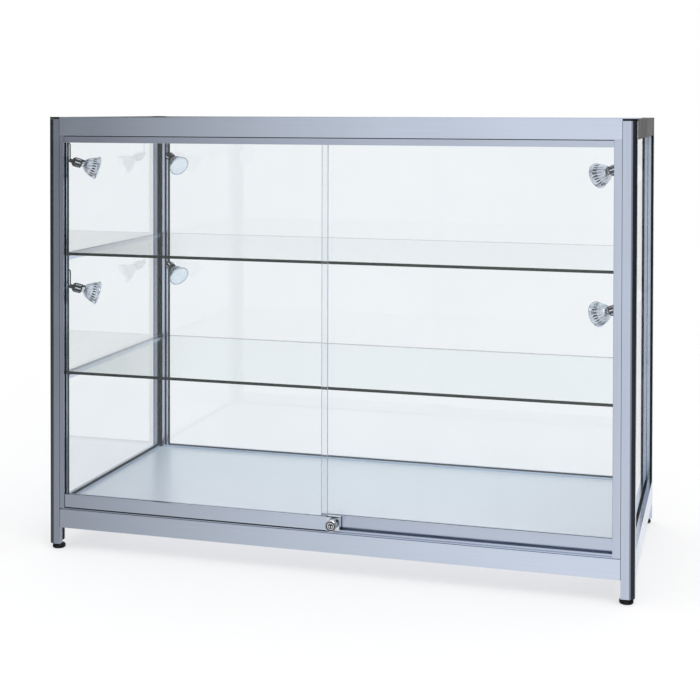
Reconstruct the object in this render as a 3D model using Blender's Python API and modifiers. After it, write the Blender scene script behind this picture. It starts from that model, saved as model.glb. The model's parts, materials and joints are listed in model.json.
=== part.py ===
"""Glass display showcase: aluminium corner posts and rails, glass walls, shelves, sliding doors and lamps.

The floor is Z = 0. The sliding doors and their lock face -Y, and X runs along the counter.
Distances called inset are measured inwards from the outer face of the frame on that side.
"""

import math

import bmesh
import bpy
from mathutils import Matrix, Vector

# Overall size
WIDTH = 1.200
DEPTH = 0.550
HEIGHT = 0.900
LOCK_PROUD = 0.016
GAP = 0.0003
CUT_PAST = 0.010
WELD = 0.00002

# The lock stands proud of the front, so the frame sits back by half of that to centre the whole.
HALF_X = WIDTH / 2
FRONT = -(DEPTH - LOCK_PROUD) / 2
REAR = FRONT + DEPTH

# Corner posts: a hollow L section with a round outer corner and an open inner corner
POST = 0.026
LEG = 0.012
POST_RADIUS = 0.013
POST_WALL = 0.0018
POST_BOTTOM = 0.0113
CAP_HEIGHT = 0.004
ARC_STEPS = 7

# Levelling feet
FOOT_INSET = 0.0164
FOOT_RADIUS = 0.0133
FOOT_HEIGHT = 0.0088
FOOT_CHAMFER = 0.0016
FOOT_COLLAR = (0.0070, 0.0098)
STEM_RADIUS = 0.004
STEM_CHAMFER = 0.0008
STEM_TOP = 0.052

# Glass
GLASS = 0.005
GLASS_INSET = 0.0125
GROOVE_SIDE = 0.0003
GROOVE_DEPTH = 0.0075
TOP_GROOVE_DEPTH = 0.0087
EDGE_CLEARANCE = 0.0005
TOP_GLASS = 0.006

# Rails
BOTTOM_RAIL_LOW = 0.0465
FRONT_RAIL_TOP = 0.0845
BOTTOM_RAIL_TOP = 0.0955
BOTTOM_RAIL_LIP = 0.0227
FRONT_LEDGE_END = 0.042
LEDGE_THICKNESS = 0.004
TOP_RAIL_LOW = 0.8613
REBATE_DEPTH = 0.0124
RAIL_WALL = 0.0018

# Deck and shelves
DECK = 0.006
DECK_INSET_X = 0.0230
DECK_INSET_FRONT = 0.0335
DECK_INSET_REAR = 0.0230
SHELF = 0.006
SHELF_LEVELS = {"upper": 0.609, "lower": 0.3585}
SHELF_INSET_X = 0.0185
SHELF_INSET_FRONT = 0.042
SHELF_INSET_REAR = 0.019
BEARER_WIDTH = 0.013
BEARER_HEIGHT = 0.008
BEARER_INSET_X = 0.0180
BEARER_TAB = 0.0078
BEARER_STEP = 0.001
BEARER_INSET_FRONT = 0.034

# Sliding doors: insets of the two door planes, and the shoes the glass stands in
PLANE = {"left": 0.0085, "right": 0.0245}
SHOE_HALF = 0.006
SHOE_LOW = 0.0878
SHOE_TOP = 0.1157
SHOE_SLOT = 0.0076
SHOE_CLEARANCE = 0.0007
DOOR_TOP = 0.8530
LEFT_DOOR_END = 0.0055
RIGHT_DOOR_START = -0.0109
DOOR_OUTER_EDGE = 0.570
LEFT_DOOR_EDGE = 0.5685

# Tracks and jambs
TRACK_HALF = HALF_X - POST - 0.0007
JAMB_WIDTH = {"left": 0.0102, "right": 0.0147}
JAMB_DEPTH = 0.0165
JAMB_LOW = 0.0871
JAMB_GROOVE_SIDE = 0.0008
JAMB_GROOVE_SPARE = 0.0015
UPPER_TRACK_LOW = 0.8470
TRACK_INSET = 0.001
TRACK_DEPTH = 0.0325
UPPER_GROOVE_HALF = 0.0037
UPPER_GROOVE_TOP = 0.857
TRACK_PLATE_TOP = 0.0868
TRACK_CUT_LOW = 0.0869
TRACK_PLATE_INSET = 0.003
RIB_HALF = 0.0012
RIB_TOP = 0.0908
RIB_SLOT_HALF = 0.002
RIB_SLOT_TOP = 0.0918
TRACK_SPLIT = 0.0172

# Plunger lock on the end of the left door's shoe
LOCK_LOW = 0.0915
LOCK_TOP = 0.1165
LOCK_WIDTH = 0.026
LOCK_FACE = 0.0005
LOCK_BACK = 0.0145
LOCK_X = LEFT_DOOR_END + GAP + LOCK_WIDTH / 2
LOCK_Z = 0.1038
BARREL_RADIUS = 0.0112
BARREL_HEAD = 0.009
BARREL_CHAMFER = 0.0008
SHAFT_RADIUS = 0.008
BORE_CLEARANCE = 0.0004
SHAFT_END = 0.0120
PIN_RADIUS = 0.003
PIN_END = 0.0165
PIN_HOLE_RADIUS = 0.0034
PIN_HOLE_DEPTH = 0.0075
PIN_HOLE_START = 0.002
PLUG_RADIUS = 0.005
PLUG_LENGTH = 0.008
KEYWAY = (0.0016, 0.0066, 0.0050)

# Lamps, one at each corner on two levels: insets of the pivot, aim as an angle from X, and tilt down
LAMP_LEVELS = {"upper": 0.8084, "lower": 0.5440}
LAMP_INSET_X = {"front_left": 0.0285, "front_right": 0.0315, "rear_right": 0.034, "rear_left": 0.048}
LAMP_INSET_Y = {"front": 0.0455, "rear": 0.040}
LAMP_AIM = {"front_left": 35, "front_right": 35, "rear_right": 78, "rear_left": 35}
LAMP_TILT = {"front": 17, "rear": 28}
ARM_RISE = {"upper": 0.036, "lower": 0.034}
ARM_RADIUS = 0.0015
ARM_START_INSET = (0.0195, 0.0150)
ARM_REAR_OFFSET = 0.0075
ARM_BEND = 0.006
BEND_SHARE = 0.45
BEND_STEPS = 4
KNUCKLE_PIN = (0.0014, 0.0085)
EAR = (0.0014, 0.0070, 0.0085)
EAR_OFFSET = 0.0034
EAR_HOLE_RADIUS = 0.0018
LAMP_STEPS = 24
BOWL_STEPS = 5
BOWL_CURVE = 0.52
LAMP_MOUTH = 0.0600
LAMP_RIM = (0.0250, 0.0026)
RIM_CHAMFER = 0.0006
BOWL_INSET = 0.0012
BOWL_START = 0.0295
LAMP_NECK = (0.0060, 0.0250)
HOLDER_RADIUS = 0.0100
HOLDER_FRONT = 0.0245
HOLDER_SHOULDER = 0.0090
HOLDER_BACK = (0.0068, 0.0050)

# Lamp transformer under the deck
TRANSFORMER_SIZE = (0.120, 0.045, 0.030)
TRANSFORMER_X = 0.430
TRANSFORMER_INSET_REAR = 0.110
BUSH_RADIUS = 0.006
BUSH_STEPS = (0.002, 0.004, 0.008)

CORNERS = {
    "front_left": (-1, -1, 0.0),
    "front_right": (1, -1, math.pi / 2),
    "rear_right": (1, 1, math.pi),
    "rear_left": (-1, 1, -math.pi / 2),
}
SIDES = {
    "front": 0.0,
    "right": math.pi / 2,
    "rear": math.pi,
    "left": -math.pi / 2,
}

parts = None
cutters = None
materials = {}


# Scene and materials


def clear_scene():
    for obj in list(bpy.data.objects):
        bpy.data.objects.remove(obj, do_unlink=True)


def new_collection(name):
    collection = bpy.data.collections.new(name)
    bpy.context.scene.collection.children.link(collection)
    return collection


def add_material(name, colour, roughness, metallic=0.0, alpha=1.0):
    material = bpy.data.materials.new(name)
    material.use_nodes = True
    shader = material.node_tree.nodes["Principled BSDF"]
    shader.inputs["Base Color"].default_value = (*colour, 1.0)
    shader.inputs["Roughness"].default_value = roughness
    shader.inputs["Metallic"].default_value = metallic
    shader.inputs["Alpha"].default_value = alpha
    materials[name] = material


def add_materials():
    add_material("aluminium", (0.50, 0.52, 0.60), 0.38, 1.0)
    add_material("deck_panel", (0.60, 0.62, 0.68), 0.30)
    add_material("clear_glass", (0.80, 0.90, 0.88), 0.05, 0.0, 0.30)
    add_material("shelf_glass", (0.30, 0.55, 0.47), 0.05, 0.0, 0.45)
    add_material("black_plastic", (0.02, 0.02, 0.02), 0.50)
    add_material("lock_chrome", (0.75, 0.75, 0.77), 0.15, 1.0)
    add_material("lamp_body", (0.35, 0.36, 0.38), 0.30, 0.3)
    add_material("lamp_steel", (0.30, 0.30, 0.32), 0.35, 1.0)
    add_material("transformer_case", (0.70, 0.70, 0.68), 0.55)


# Building blocks


def place(name, mesh, material, matrix=None):
    mesh.name = name
    mesh.materials.clear()
    mesh.materials.append(materials[material])
    obj = bpy.data.objects.new(name, mesh)
    obj.matrix_world = matrix or Matrix.Identity(4)
    parts.objects.link(obj)
    return obj


def box_mesh(low, high):
    """A box between two corners, with its mesh centred on the object's origin."""
    low = Vector(low)
    high = Vector(high)
    bm = bmesh.new()
    bmesh.ops.create_cube(bm, size=1.0)
    bmesh.ops.scale(bm, vec=high - low, verts=bm.verts)
    mesh = bpy.data.meshes.new("box")
    bm.to_mesh(mesh)
    bm.free()
    return mesh, Matrix.Translation((low + high) / 2)


def box(name, low, high, material):
    mesh, matrix = box_mesh(low, high)
    return place(name, mesh, material, matrix)


def evaluated_mesh(obj):
    bpy.context.view_layer.update()
    graph = bpy.context.evaluated_depsgraph_get()
    return bpy.data.meshes.new_from_object(obj.evaluated_get(graph))


def close_mesh(mesh):
    """Welds the loose caps of a curve's mesh and turns every face outwards."""
    bm = bmesh.new()
    bm.from_mesh(mesh)
    bmesh.ops.remove_doubles(bm, verts=bm.verts, dist=WELD)
    bmesh.ops.recalc_face_normals(bm, faces=bm.faces)
    bm.to_mesh(mesh)
    bm.free()
    return mesh


def curve_to_mesh(curve):
    guide = bpy.data.objects.new("guide", curve)
    parts.objects.link(guide)
    mesh = evaluated_mesh(guide)
    bpy.data.objects.remove(guide)
    bpy.data.curves.remove(curve)
    return close_mesh(mesh)


def extrusion_mesh(loops, length):
    """The flat outline in loops, with any later loops as holes, extruded along local Z about its middle."""
    curve = bpy.data.curves.new("outline", "CURVE")
    curve.dimensions = "2D"
    curve.fill_mode = "BOTH"
    curve.extrude = length / 2
    for loop in loops:
        spline = curve.splines.new("POLY")
        spline.points.add(len(loop) - 1)
        for point, (x, y) in zip(spline.points, loop):
            point.co = (x, y, 0.0, 1.0)
        spline.use_cyclic_u = True
    return curve_to_mesh(curve)


def turned_mesh(profile, steps):
    """A profile of (radius, height) pairs, listed down its outer side, turned about Z."""
    mesh = bpy.data.meshes.new("profile")
    verts = [(radius, 0.0, height) for radius, height in profile]
    mesh.from_pydata(verts, [(i, i + 1) for i in range(len(verts) - 1)], [])
    guide = bpy.data.objects.new("guide", mesh)
    parts.objects.link(guide)
    screw = guide.modifiers.new("Screw", "SCREW")
    screw.steps = steps
    screw.render_steps = steps
    screw.use_merge_vertices = True
    screw.merge_threshold = WELD
    turned = evaluated_mesh(guide)
    bpy.data.objects.remove(guide)
    bpy.data.meshes.remove(mesh)
    return close_mesh(turned)


def cylinder_mesh(radius, length, steps=24):
    """A closed cylinder along local Z, standing on its origin."""
    return turned_mesh([(0, length), (radius, length), (radius, 0), (0, 0)], steps)


def cutter(mesh, matrix):
    obj = bpy.data.objects.new("cutter", mesh)
    obj.matrix_world = matrix
    obj.hide_render = True
    obj.display_type = "WIRE"
    cutters.objects.link(obj)
    return obj


def combine(obj, operation, mesh, matrix):
    modifier = obj.modifiers.new(operation.title(), "BOOLEAN")
    modifier.operation = operation
    modifier.solver = "EXACT"
    modifier.object = cutter(mesh, matrix)


def cut_box(obj, low, high):
    combine(obj, "DIFFERENCE", *box_mesh(low, high))


def add_box(obj, low, high):
    combine(obj, "UNION", *box_mesh(low, high))


def soften(obj, width, segments=2):
    """Rounds the hard edges of a piece."""
    bevel = obj.modifiers.new("Bevel", "BEVEL")
    bevel.width = width
    bevel.segments = segments
    bevel.limit_method = "ANGLE"
    bevel.angle_limit = math.radians(40)


def smooth(obj, degrees=35):
    obj.data.shade_smooth()
    obj.data.set_sharp_from_angle(angle=math.radians(degrees))


def along_x(x, y=0.0):
    """Turns an outline drawn in (inset, height) so that it runs along X at the front."""
    turn = Matrix(((0, 0, 1, 0), (1, 0, 0, 0), (0, 1, 0, 0), (0, 0, 0, 1)))
    return Matrix.Translation((x, y, 0)) @ turn


def along_side(side):
    """Places an outline drawn in (inset, height) along one side of the frame."""
    reach = DEPTH / 2 if side in ("front", "rear") else HALF_X
    middle = Matrix.Translation((0, (FRONT + REAR) / 2, 0))
    return middle @ Matrix.Rotation(SIDES[side], 4, "Z") @ along_x(0, -reach)


def pointing(direction):
    """The rotation that turns local Z to a direction."""
    return Vector(direction).to_track_quat("Z", "Y").to_matrix().to_4x4()


# Frame


def post_outline(inset):
    """The L section, drawn inside its true outline by inset, with the outer corner at the origin."""
    end = POST - inset
    leg = LEG - inset
    radius = POST_RADIUS - inset
    arc = []
    for step in range(ARC_STEPS + 1):
        angle = math.pi + step * math.pi / 2 / ARC_STEPS
        x = POST_RADIUS + radius * math.cos(angle)
        y = POST_RADIUS + radius * math.sin(angle)
        arc.append((x, y))
    return arc + [(end, inset), (end, leg), (leg, leg), (leg, end), (inset, end)]


def cap_outline():
    return post_outline(0)[: ARC_STEPS + 1] + [(POST, 0), (POST, POST), (0, POST)]


def corner_matrix(corner, z):
    x, y, turn = CORNERS[corner]
    origin = (x * HALF_X, FRONT if y < 0 else REAR, z)
    return Matrix.Translation(origin) @ Matrix.Rotation(turn, 4, "Z")


def add_posts():
    length = HEIGHT - CAP_HEIGHT - GAP - POST_BOTTOM
    section = [post_outline(0), post_outline(POST_WALL)]
    for corner in CORNERS:
        mesh = extrusion_mesh(section, length)
        middle = corner_matrix(corner, POST_BOTTOM + length / 2)
        obj = place(f"corner_post_{corner}", mesh, "aluminium", middle)
        smooth(obj)


def add_post_caps():
    for corner in CORNERS:
        mesh = extrusion_mesh([cap_outline()], CAP_HEIGHT)
        middle = corner_matrix(corner, HEIGHT - CAP_HEIGHT / 2)
        obj = place(f"post_cap_{corner}", mesh, "black_plastic", middle)
        soften(obj, 0.0006, 1)


def add_feet():
    collar_radius, collar_top = FOOT_COLLAR
    profile = [
        (0, STEM_TOP),
        (STEM_RADIUS - STEM_CHAMFER, STEM_TOP),
        (STEM_RADIUS, STEM_TOP - STEM_CHAMFER),
        (STEM_RADIUS, collar_top),
        (collar_radius, collar_top),
        (FOOT_RADIUS - FOOT_CHAMFER, FOOT_HEIGHT - STEM_CHAMFER),
        (FOOT_RADIUS, FOOT_HEIGHT - 2 * FOOT_CHAMFER),
        (FOOT_RADIUS, FOOT_CHAMFER),
        (FOOT_RADIUS - FOOT_CHAMFER, 0),
        (0, 0),
    ]
    for corner, (x, y, _) in CORNERS.items():
        place_y = FRONT + FOOT_INSET if y < 0 else REAR - FOOT_INSET
        matrix = Matrix.Translation((x * (HALF_X - FOOT_INSET), place_y, 0))
        obj = place(f"levelling_foot_{corner}", turned_mesh(profile, 24), "black_plastic", matrix)
        smooth(obj)


def groove_lines(level, depth):
    """The four corners of a glazing groove open at level, going down, or up where depth is negative."""
    near = GLASS_INSET - GROOVE_SIDE
    far = GLASS_INSET + GLASS + GROOVE_SIDE
    return [(far, level), (far, level - depth), (near, level - depth), (near, level)]


def hollow(left, low, right, high):
    return [(left, low), (left, high), (right, high), (right, low)]


def bottom_rail_section():
    ledge = FRONT_RAIL_TOP
    outline = [
        (0, BOTTOM_RAIL_LOW),
        (POST, BOTTOM_RAIL_LOW),
        (POST, ledge),
        (BOTTOM_RAIL_LIP, ledge),
        (BOTTOM_RAIL_LIP, BOTTOM_RAIL_TOP),
    ]
    outline += groove_lines(BOTTOM_RAIL_TOP, GROOVE_DEPTH)
    outline.append((0, BOTTOM_RAIL_TOP))
    inside = hollow(RAIL_WALL, BOTTOM_RAIL_LOW + RAIL_WALL, POST - RAIL_WALL, ledge - LEDGE_THICKNESS)
    return [outline, inside]


def front_bottom_rail_section():
    outline = [
        (0, BOTTOM_RAIL_LOW),
        (POST, BOTTOM_RAIL_LOW),
        (POST, FRONT_RAIL_TOP - LEDGE_THICKNESS),
        (FRONT_LEDGE_END, FRONT_RAIL_TOP - LEDGE_THICKNESS),
        (FRONT_LEDGE_END, FRONT_RAIL_TOP),
        (0, FRONT_RAIL_TOP),
    ]
    inside = hollow(
        RAIL_WALL,
        BOTTOM_RAIL_LOW + RAIL_WALL,
        POST - RAIL_WALL,
        FRONT_RAIL_TOP - LEDGE_THICKNESS,
    )
    return [outline, inside]


def top_rail_section(grooved):
    """A rail whose rebate, on the inside of its top, holds the edge of the top glass."""
    rail_top = HEIGHT - GAP
    rebate = rail_top - REBATE_DEPTH
    outline = [(0, TOP_RAIL_LOW), (0, rail_top), (LEG, rail_top), (LEG, rebate), (POST, rebate)]
    outline.append((POST, TOP_RAIL_LOW))
    if grooved:
        outline += groove_lines(TOP_RAIL_LOW, -TOP_GROOVE_DEPTH)
    roof = TOP_RAIL_LOW + TOP_GROOVE_DEPTH + RAIL_WALL
    return [outline, hollow(RAIL_WALL, roof, POST - RAIL_WALL, rebate - RAIL_WALL)]


def add_rails():
    for side in SIDES:
        span = WIDTH if side in ("front", "rear") else DEPTH
        length = span - 2 * (POST + GAP)
        section = front_bottom_rail_section() if side == "front" else bottom_rail_section()
        mesh = extrusion_mesh(section, length)
        place(f"bottom_rail_{side}", mesh, "aluminium", along_side(side))
        mesh = extrusion_mesh(top_rail_section(side != "front"), length)
        place(f"top_rail_{side}", mesh, "aluminium", along_side(side))


# Glass, deck and shelves


def add_wall_glass():
    low = BOTTOM_RAIL_TOP - GROOVE_DEPTH + EDGE_CLEARANCE
    high = TOP_RAIL_LOW + GROOVE_DEPTH
    inner = GLASS_INSET + GLASS
    box(
        "rear_glass",
        (-HALF_X + GLASS_INSET + EDGE_CLEARANCE, REAR - inner, low),
        (HALF_X - GLASS_INSET - EDGE_CLEARANCE, REAR - GLASS_INSET, high),
        "clear_glass",
    )
    for name, side in (("left", -1), ("right", 1)):
        x = side * (HALF_X - GLASS_INSET - GLASS / 2)
        box(
            f"side_glass_{name}",
            (x - GLASS / 2, FRONT + GLASS_INSET, low),
            (x + GLASS / 2, REAR - inner - GAP, high),
            "clear_glass",
        )


def add_top_glass():
    low = HEIGHT - REBATE_DEPTH
    box(
        "top_glass",
        (-HALF_X + GLASS_INSET, FRONT + GLASS_INSET, low),
        (HALF_X - GLASS_INSET, REAR - GLASS_INSET, low + TOP_GLASS),
        "clear_glass",
    )


def add_deck():
    low = FRONT_RAIL_TOP + GAP
    obj = box(
        "base_deck",
        (-HALF_X + DECK_INSET_X, FRONT + DECK_INSET_FRONT, low),
        (HALF_X - DECK_INSET_X, REAR - DECK_INSET_REAR, low + DECK),
        "deck_panel",
    )
    soften(obj, 0.0004, 1)


def add_shelves():
    for level, low in SHELF_LEVELS.items():
        obj = box(
            f"glass_shelf_{level}",
            (-HALF_X + SHELF_INSET_X, FRONT + SHELF_INSET_FRONT, low),
            (HALF_X - SHELF_INSET_X, REAR - SHELF_INSET_REAR, low + SHELF),
            "shelf_glass",
        )
        soften(obj, 0.0006, 1)
        for name, side in (("left", -1), ("right", 1)):
            add_bearer(f"shelf_bearer_{level}_{name}", side, low - GAP)


def add_bearer(name, side, top):
    """A strip under the shelf's end, with tabs that reach into the open corners of the posts."""
    outer = side * (HALF_X - BEARER_INSET_X)
    inner = outer - side * BEARER_WIDTH
    tab = outer - side * BEARER_TAB
    low = top - BEARER_HEIGHT
    obj = box(
        name,
        (min(outer, inner), FRONT + BEARER_INSET_FRONT, low),
        (max(outer, inner), REAR - POST - GAP, top),
        "aluminium",
    )
    add_box(
        obj,
        (min(outer, tab), FRONT + LEG + GAP, low + BEARER_STEP),
        (max(outer, tab), REAR - SHELF_INSET_REAR, top - BEARER_STEP),
    )


# Tracks, jambs and doors


def track_ends(obj, low, high):
    """Cuts the front half of a track back at both ends to leave room for the jambs."""
    for name, side in (("left", -1), ("right", 1)):
        near = side * (TRACK_HALF - JAMB_WIDTH[name])
        far = side * (TRACK_HALF + CUT_PAST)
        cut_box(
            obj,
            (min(near, far), FRONT - CUT_PAST, low),
            (max(near, far), FRONT + TRACK_SPLIT, high),
        )


def add_upper_track():
    start = TRACK_INSET
    end = TRACK_INSET + TRACK_DEPTH
    outline = [(start, TOP_RAIL_LOW - GAP), (start, UPPER_TRACK_LOW)]
    for plane in PLANE.values():
        near = plane - UPPER_GROOVE_HALF
        far = plane + UPPER_GROOVE_HALF
        outline += [
            (near, UPPER_TRACK_LOW),
            (near, UPPER_GROOVE_TOP),
            (far, UPPER_GROOVE_TOP),
            (far, UPPER_TRACK_LOW),
        ]
    outline += [(end, UPPER_TRACK_LOW), (end, TOP_RAIL_LOW - GAP)]
    mesh = extrusion_mesh([outline], 2 * TRACK_HALF)
    obj = place("upper_track", mesh, "aluminium", along_x(0, FRONT))
    track_ends(obj, UPPER_TRACK_LOW - CUT_PAST, TOP_RAIL_LOW + CUT_PAST)


def add_lower_track():
    start = TRACK_PLATE_INSET
    end = TRACK_DEPTH
    low = FRONT_RAIL_TOP + GAP
    outline = [(end, low), (start, low), (start, TRACK_PLATE_TOP)]
    for plane in PLANE.values():
        outline += [
            (plane - RIB_HALF, TRACK_PLATE_TOP),
            (plane - RIB_HALF, RIB_TOP),
            (plane + RIB_HALF, RIB_TOP),
            (plane + RIB_HALF, TRACK_PLATE_TOP),
        ]
    outline.append((end, TRACK_PLATE_TOP))
    mesh = extrusion_mesh([outline], 2 * TRACK_HALF)
    obj = place("lower_track", mesh, "aluminium", along_x(0, FRONT))
    track_ends(obj, TRACK_CUT_LOW, RIB_TOP + CUT_PAST)


def add_jambs():
    """Uprights beside the front posts, with a groove for the edge of the left door's glass."""
    plane = PLANE["left"]
    groove = GLASS / 2 + JAMB_GROOVE_SIDE
    bottom = LEFT_DOOR_EDGE + JAMB_GROOVE_SPARE
    length = TOP_RAIL_LOW - GAP - JAMB_LOW
    for name, side in (("left", -1), ("right", 1)):
        outer = HALF_X - POST - GAP
        inner = outer - JAMB_WIDTH[name]
        outline = [
            (outer, 0),
            (outer, JAMB_DEPTH),
            (inner, JAMB_DEPTH),
            (inner, plane + groove),
            (bottom, plane + groove),
            (bottom, plane - groove),
            (inner, plane - groove),
            (inner, 0),
        ]
        loop = [(side * x, y) for x, y in outline]
        matrix = Matrix.Translation((0, FRONT, JAMB_LOW + length / 2))
        place(f"jamb_{name}", extrusion_mesh([loop], length), "aluminium", matrix)


def shoe_section(plane):
    glass = GLASS / 2 + GROOVE_SIDE
    return [
        (plane - SHOE_HALF, SHOE_LOW),
        (plane - RIB_SLOT_HALF, SHOE_LOW),
        (plane - RIB_SLOT_HALF, RIB_SLOT_TOP),
        (plane + RIB_SLOT_HALF, RIB_SLOT_TOP),
        (plane + RIB_SLOT_HALF, SHOE_LOW),
        (plane + SHOE_HALF, SHOE_LOW),
        (plane + SHOE_HALF, SHOE_TOP),
        (plane + glass, SHOE_TOP),
        (plane + glass, SHOE_TOP - SHOE_SLOT),
        (plane - glass, SHOE_TOP - SHOE_SLOT),
        (plane - glass, SHOE_TOP),
        (plane - SHOE_HALF, SHOE_TOP),
    ]


def add_door(name, glass_x, shoe_x):
    plane = PLANE[name]
    middle = FRONT + plane
    box(
        f"door_glass_{name}",
        (glass_x[0], middle - GLASS / 2, SHOE_TOP - SHOE_SLOT + GAP),
        (glass_x[1], middle + GLASS / 2, DOOR_TOP),
        "clear_glass",
    )
    mesh = extrusion_mesh([shoe_section(plane)], shoe_x[1] - shoe_x[0])
    return place(f"door_shoe_{name}", mesh, "aluminium", along_x(sum(shoe_x) / 2, FRONT))


def add_doors():
    shoe_start = -(HALF_X - POST - GAP - JAMB_WIDTH["left"] - SHOE_CLEARANCE)
    add_door("left", (-LEFT_DOOR_EDGE, LEFT_DOOR_END), (shoe_start, LEFT_DOOR_END))
    right = (RIGHT_DOOR_START, DOOR_OUTER_EDGE)
    shoe = add_door("right", right, right)
    face = FRONT + PLANE["right"] - SHOE_HALF
    hole = Matrix.Translation((LOCK_X, face - PIN_HOLE_START, LOCK_Z)) @ pointing((0, 1, 0))
    combine(shoe, "DIFFERENCE", cylinder_mesh(PIN_HOLE_RADIUS, PIN_HOLE_DEPTH), hole)


# Lock


def into_lock(depth):
    """A frame on the lock's axis, at a depth from the front plane, whose Z runs into the lock."""
    return Matrix.Translation((LOCK_X, FRONT + depth, LOCK_Z)) @ pointing((0, 1, 0))


def add_lock():
    housing = box(
        "lock_housing",
        (LOCK_X - LOCK_WIDTH / 2, FRONT + LOCK_FACE, LOCK_LOW),
        (LOCK_X + LOCK_WIDTH / 2, FRONT + LOCK_BACK, LOCK_TOP),
        "lock_chrome",
    )
    bore = cylinder_mesh(SHAFT_RADIUS + BORE_CLEARANCE, LOCK_BACK + 2 * CUT_PAST, 32)
    combine(housing, "DIFFERENCE", bore, into_lock(-CUT_PAST))
    add_barrel()
    add_plug()


def add_barrel():
    """The push-in barrel: a knob in front, a shaft in the housing and a pin that bars the right door."""
    start = LOCK_PROUD
    head = BARREL_HEAD
    chamfer = BARREL_CHAMFER
    profile = [
        (0, PIN_END + start),
        (PIN_RADIUS, PIN_END + start),
        (PIN_RADIUS, SHAFT_END + start),
        (SHAFT_RADIUS, SHAFT_END + start),
        (SHAFT_RADIUS, head),
        (BARREL_RADIUS, head),
        (BARREL_RADIUS, chamfer),
        (BARREL_RADIUS - chamfer, 0),
        (PLUG_RADIUS + GAP, 0),
        (PLUG_RADIUS + GAP, PLUG_LENGTH + GAP),
        (0, PLUG_LENGTH + GAP),
    ]
    obj = place("lock_barrel", turned_mesh(profile, 32), "lock_chrome", into_lock(-LOCK_PROUD))
    smooth(obj)


def add_plug():
    """The turning plug inside the barrel, with a keyway across its face."""
    obj = place(
        "lock_key_plug",
        cylinder_mesh(PLUG_RADIUS, PLUG_LENGTH, 24),
        "lock_chrome",
        into_lock(-LOCK_PROUD),
    )
    width, height, depth = KEYWAY
    cut_box(
        obj,
        (LOCK_X - width / 2, FRONT - LOCK_PROUD - CUT_PAST, LOCK_Z - height / 2),
        (LOCK_X + width / 2, FRONT - LOCK_PROUD + depth, LOCK_Z + height / 2),
    )
    smooth(obj)


# Lamps


def lamp_profile():
    """Down the outer side of a lamp head from its mouth to the back of its lamp holder."""
    rim, rim_depth = LAMP_RIM
    neck, neck_end = LAMP_NECK
    back_radius, back = HOLDER_BACK
    bowl = rim - BOWL_INSET
    bowl_end = LAMP_MOUTH - rim_depth - BOWL_INSET
    points = [
        (0, LAMP_MOUTH - RIM_CHAMFER),
        (bowl, LAMP_MOUTH),
        (rim, LAMP_MOUTH - RIM_CHAMFER),
        (rim, LAMP_MOUTH - rim_depth),
    ]
    for step in range(BOWL_STEPS):
        share = 1 - (step + 1) / BOWL_STEPS
        radius = neck + (bowl - neck) * share**BOWL_CURVE
        points.append((radius, BOWL_START + (bowl_end - BOWL_START) * share))
    points += [
        (neck, neck_end),
        (HOLDER_RADIUS, HOLDER_FRONT),
        (HOLDER_RADIUS, HOLDER_SHOULDER),
        (back_radius, back),
        (0, back),
    ]
    return points


def lamp_head_mesh():
    """A lamp head pointing along local X, with the ears of its knuckle about local Y at the origin."""
    head = bpy.data.objects.new("guide", turned_mesh(lamp_profile(), LAMP_STEPS))
    head.matrix_world = pointing((1, 0, 0))
    parts.objects.link(head)
    thickness, length, height = EAR
    for side in (-1, 1):
        middle = side * EAR_OFFSET
        add_box(
            head,
            (-height / 2, middle - thickness / 2, -height / 2),
            (length, middle + thickness / 2, height / 2),
        )
    hole = Matrix.Translation((0, -CUT_PAST, 0)) @ pointing((0, 1, 0))
    combine(head, "DIFFERENCE", cylinder_mesh(EAR_HOLE_RADIUS, 2 * CUT_PAST, 16), hole)
    mesh = evaluated_mesh(head)
    mesh.transform(head.matrix_world)
    used = [modifier.object for modifier in head.modifiers]
    bpy.data.objects.remove(head)
    for obj in used:
        bpy.data.objects.remove(obj)
    return mesh


def bend_points(before, corner, after):
    """The points of a rounded bend from before to after, both included."""
    points = []
    for step in range(BEND_STEPS + 1):
        share = step / BEND_STEPS
        points.append(before.lerp(corner, share).lerp(corner.lerp(after, share), share))
    return points


def arm_route(corner_x, corner_y, pivot, rise):
    """The rod's points: out of the post's open corner, round a bend, inwards, and down to the knuckle."""
    x_start, y_start = ARM_START_INSET
    top = pivot.z + rise
    start = Vector((corner_x * (HALF_X - x_start), FRONT + y_start, top))
    corner = Vector((start.x, pivot.y, top))
    if corner_y > 0:
        start.y = REAR - y_start - ARM_REAR_OFFSET
        corner = Vector((pivot.x, start.y, top))
    over = Vector((pivot.x, pivot.y, top))
    outwards = (start - corner).normalized()
    inwards = (over - corner).normalized()
    reach = min(ARM_BEND, (over - corner).length * BEND_SHARE)
    first = bend_points(corner + outwards * reach, corner, corner + inwards * reach)
    second = bend_points(over - inwards * reach, over, over - Vector((0, 0, reach)))
    return [start] + first + second + [pivot]


def arm_mesh(points):
    curve = bpy.data.curves.new("rod", "CURVE")
    curve.dimensions = "3D"
    curve.bevel_depth = ARM_RADIUS
    curve.bevel_resolution = 2
    curve.use_fill_caps = True
    spline = curve.splines.new("POLY")
    spline.points.add(len(points) - 1)
    for point, co in zip(spline.points, points):
        point.co = (*co, 1.0)
    return curve_to_mesh(curve)


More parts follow.
